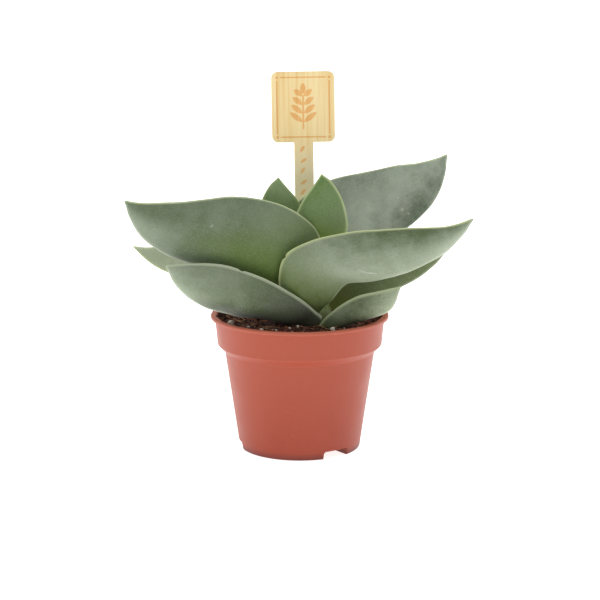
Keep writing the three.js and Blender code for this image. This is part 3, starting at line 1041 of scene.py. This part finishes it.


# Build

# What the skin of each leaf looks like, as leaf_skin takes it. Each leaf's flank, tip and patches
# are painted light and shade, and the slate colour of its lower flank is a painted shadow.
LOOKS = {
    "leaf_lowest_front": {
        "shade": "4C5A36",
        "bloom": "A3AE93",
        "base_tint_and_painted_light": "4F5A2A",
        "haze": 0.2,
        "green_to": 0.35,
        "flank": 0.15,
        "tip": 1.2,
        "uneven": 0.2,
        "marks": [
            (24.0, -14.7, 50.7, 20, 0.9, 0.5, "39402C"),
            (25.3, -14.7, 50.2, -30, 0.8, 0.5, "39402C"),
            (21.8, -15.3, 45.8, 0, 0.8, 0.6, "414833"),
        ],
    },
    "leaf_lowest_back": {
        "shade": "4C5A36",
        "bloom": "A3AE93",
        "base_tint_and_painted_light": "4F5A2A",
        "haze": 0.4,
        "green_to": 0.2,
        "flank": 0.2,
        "tip": 0.3,
    },
    "leaf_second_front": {
        "shade": "4F5D3A",
        "bloom": "9DA892",
        "base_tint_and_painted_light": "484C3E",
        # A dark grey base: painted shade, where the leaf above and the soil shade it.
        "haze": 0.2,
        "green_to": 0.55,
        "flank": 0.05,
        "tip": 0.8,
        "upper_edge": ("C6CFB2", 0.9),
        "under_shadow": ("5B5C62", 0.6),
        "patches": [(0.6, 0.8, 0.3, 0.2), (0.5, -0.8, 0.25, -0.3), (0.75, -0.9, 0.2, 0.3)],
    },
    "leaf_second_back": {
        "shade": "4A5C2C",
        "bloom": "84926A",
        "base_tint_and_painted_light": "7C8626",
        "haze": 0.3,
        "green_to": 0.5,
        "flank": 0.2,
        "tip": 0.2,
    },
    "leaf_third_front": {
        "shade": "52633A",
        "bloom": "A9B39F",
        "base_tint_and_painted_light": "586C1C",
        "haze": 0.48,
        "green_to": 0.42,
        "flank": 0.2,
        "tip": 0.0,
        "upper_edge": ("CED9A0", 0.9),
        "lower_edge": ("C9D0BE", 0.3),
        "patches": [
            (0.72, 0.8, 0.35, -0.42),
            (0.3, 0.0, 0.3, 0.15),
            (0.15, 0.9, 0.2, 0.2),
            (0.8, -0.9, 0.25, 0.4),
        ],
        "marks": [
            (20.9, -18.4, 58.3, 4, 5.5, 0.5, "CBD1C0"),
            (18.5, -18.4, 58.9, 12, 3.2, 0.35, "C3CAB6"),
        ],
    },
    "leaf_third_back": {
        "shade": "52633A",
        "bloom": "A6B196",
        "base_tint_and_painted_light": "5C6930",
        "haze": 0.75,
        "green_to": 0.2,
        "flank": 0.0,
        "tip": 0.2,
        "lower_edge": ("A9BB78", 0.6),
    },
    "leaf_fourth_front": {
        "shade": "4D5D36",
        "bloom": "97A28F",
        "base_tint_and_painted_light": "59731A",
        "haze": 0.3,
        "green_to": 0.55,
        "flank": 0.05,
        "tip": 0.1,
        "upper_edge": ("CCD7A8", 0.9),
        "lower_edge": ("C5CCB8", 0.4),
        "under_shadow": ("545A5C", 0.4),
        "patches": [(0.85, -0.8, 0.3, 0.4), (0.25, 0.9, 0.35, 0.25), (0.75, 0.9, 0.2, -0.05)],
        "green_patches": [(0.42, -0.45, 0.3, 0.45)],
        "marks": [(-26.1, -16.9, 72.3, -40, 1.7, 0.5, "BFC8B8")],
    },
    "leaf_fourth_back": {
        "shade": "55614C",
        "bloom": "B7C1B0",
        "base_tint_and_painted_light": "74883F",
        "haze": 0.51,
        "green_to": 0.42,
        "flank": -0.1,
        "tip": 0.0,
        "uneven": 0.22,
        "patches": [
            (0.42, -0.3, 0.4, 0.45),
            (0.62, -1.0, 0.35, -0.4),
            (0.3, 0.9, 0.2, -0.15),
            (1.0, 0.0, 0.3, -0.1),
        ],
        "upper_edge": ("CDD7AC", 0.9),
        "lower_edge": ("C9D0BC", 0.5),
        "marks": [
            (32.4, 15.0, 71.8, 30, 4.6, 3.4, "A4A998"),
            (32.9, 15.0, 71.4, 0, 2.6, 2.0, "767B6A"),
            (32.2, 15.0, 71.9, 0, 1.3, 1.1, "C6CBB9"),
            (34.2, 15.0, 70.6, 0, 1.0, 0.9, "C0C6B2"),
            (30.8, 15.0, 75.6, 0, 0.7, 0.7, "C6CBB9"),
        ],
    },
    "leaf_youngest_front": {
        "shade": "5B7A39",
        "bloom": "8B9E76",
        "base_tint_and_painted_light": "9BB444",
        "haze": 0.36,
        "green_to": 0.65,
        "tip": -0.25,
        "patches": [(0.45, -0.8, 0.3, 0.4)],
        "upper_edge": ("BFCC96", 0.75),
        "lower_edge": ("BFCC96", 0.75),
    },
    "leaf_youngest_back": {
        "shade": "66883F",
        "bloom": "A2B48C",
        "base_tint_and_painted_light": "B0C85A",
        "haze": 0.44,
        "green_to": 0.6,
        "upper_edge": ("B5C486", 0.6),
        "lower_edge": ("B5C486", 0.6),
    },
}

# Where a leaf's base reaches down the stem, and the nicks and bends of its margin, as model_leaf
# takes them.
SHAPES = {
    "leaf_second_front": {
        "pushes": [
            ((-17.5, -17.2, 58.8), (0, 0, -0.5), 1.3),
            ((-20.0, -19.0, 46.0), (0, 0, 1.1), 10),
            ((-11.0, -16.0, 43.0), (0, 0, 1.3), 8),
        ],
    },
    "leaf_second_back": {"drop": 3},
    "leaf_third_front": {"pushes": [((-4.9, -13.4, 62.1), (0.9, 0, -0.1), 1.1)]},
    "leaf_fourth_back": {
        "pushes": [((18.0, 12.5, 83.4), (0, 0, -0.6), 9), ((30.0, 15.7, 84.2), (0, 0, 0.6), 8)],
    },
}

stem = model_stem()
leaves = []
for k, (node, look) in enumerate(LOOKS.items()):
    skin = leaf_skin(node.replace("leaf_", "waxy_skin_"), **look)
    is_young = "youngest" in node
    slot = "young_leaf" if is_young else "old_leaf"
    swell = 0.12 if is_young else 0.2
    leaves.append(model_leaf(node, skin, slot, swell, k + 1, **SHAPES.get(node, {})))
pot = model_pot()
label = model_label()
ornament = model_ornament()
soil = model_soil()
depsgraph = bpy.context.evaluated_depsgraph_get()
trees = [BVHTree.FromObject(piece, depsgraph) for piece in [stem, label, *leaves]]
crumbs, chance = model_crumbs(trees)
perlite = model_perlite(trees, chance)
fibres = model_fibres(trees)
for piece in [stem, pot, label, ornament, soil, fibres, crumbs, perlite, *leaves]:
    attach(piece, "root")

# Stage, light and camera

LIGHT_AIM = Vector((0, 0, 50 * MM))
ROOM_IN_FRONT = 0.26
ROOM_BEHIND = 0.86
PAPER_GLOW = 0.85
CAMERA_AWAY = 600
CAMERA_RISE = math.radians(12)
CAMERA_AIM = 46.15


def softbox(name, place, width, watts):
    """A square soft light, aimed at the plant. Its place and width are in metres."""
    data = bpy.data.lights.new(name, "AREA")
    data.shape = "SQUARE"
    data.size = width
    data.energy = watts
    light = bpy.data.objects.new(name, data)
    bpy.context.collection.objects.link(light)
    light.location = place
    light.rotation_euler = (LIGHT_AIM - Vector(place)).to_track_quat("-Z", "Y").to_euler()


bpy.ops.mesh.primitive_plane_add(size=8)
floor = bpy.context.object
floor.name = "studio_floor"
paper, tree, shader, place = new_material("matt_white_paper")
shader.inputs["Base Color"].default_value = colour("F4F4F2")
shader.inputs["Roughness"].default_value = 0.9
shader.inputs["Emission Color"].default_value = colour("FFFFFF")
from_axis = add(tree, "ShaderNodeVectorMath", {0: place}, operation="LENGTH")
under_pot = {0: from_axis, 1: 9.5 * MM, 2: 13 * MM, 3: 0, 4: PAPER_GLOW}
glow = add(tree, "ShaderNodeMapRange", under_pot)
tree.links.new(glow.outputs[0], shader.inputs["Emission Strength"])
dress(floor, paper)

world = bpy.data.worlds.new("studio_white")
bpy.context.scene.world = world
world.use_nodes = True
tree = world.node_tree
tree.nodes.clear()
heading = add(tree, "ShaderNodeTexCoord").outputs["Generated"]
heading = add(tree, "ShaderNodeSeparateXYZ", {0: heading}).outputs["Y"]
brightness = {0: heading, 1: -0.8, 2: 0.5, 3: ROOM_IN_FRONT, 4: ROOM_BEHIND}
room = add(tree, "ShaderNodeMapRange", brightness)
seen = add(tree, "ShaderNodeLightPath").outputs["Is Camera Ray"]
walls = add(tree, "ShaderNodeBackground", {"Color": colour("FFFFFF"), "Strength": room})
paper_roll = add(tree, "ShaderNodeBackground", {"Color": colour("FFFFFF"), "Strength": 1})
both = add(tree, "ShaderNodeMixShader", {0: seen, 1: walls, 2: paper_roll})
add(tree, "ShaderNodeOutputWorld", {"Surface": both})

softbox("key_softbox", (-0.55, -0.75, 0.75), 0.7, 1.8)
softbox("top_softbox", (0.1, 0.2, 1.1), 1.0, 3.2)

bpy.context.scene.view_settings.view_transform = "Standard"

camera_data = bpy.data.cameras.new("camera")
camera_data.sensor_width = 36
camera_data.lens = 116.64
camera_data.shift_x = 0.0005
camera = bpy.data.objects.new("camera", camera_data)
back = CAMERA_AWAY * math.cos(CAMERA_RISE)
up = CAMERA_AIM + CAMERA_AWAY * math.sin(CAMERA_RISE)
camera.location = (0, -back * MM, up * MM)
camera.rotation_euler = (math.pi / 2 - CAMERA_RISE, 0, 0)
bpy.context.collection.objects.link(camera)
bpy.context.scene.camera = camera
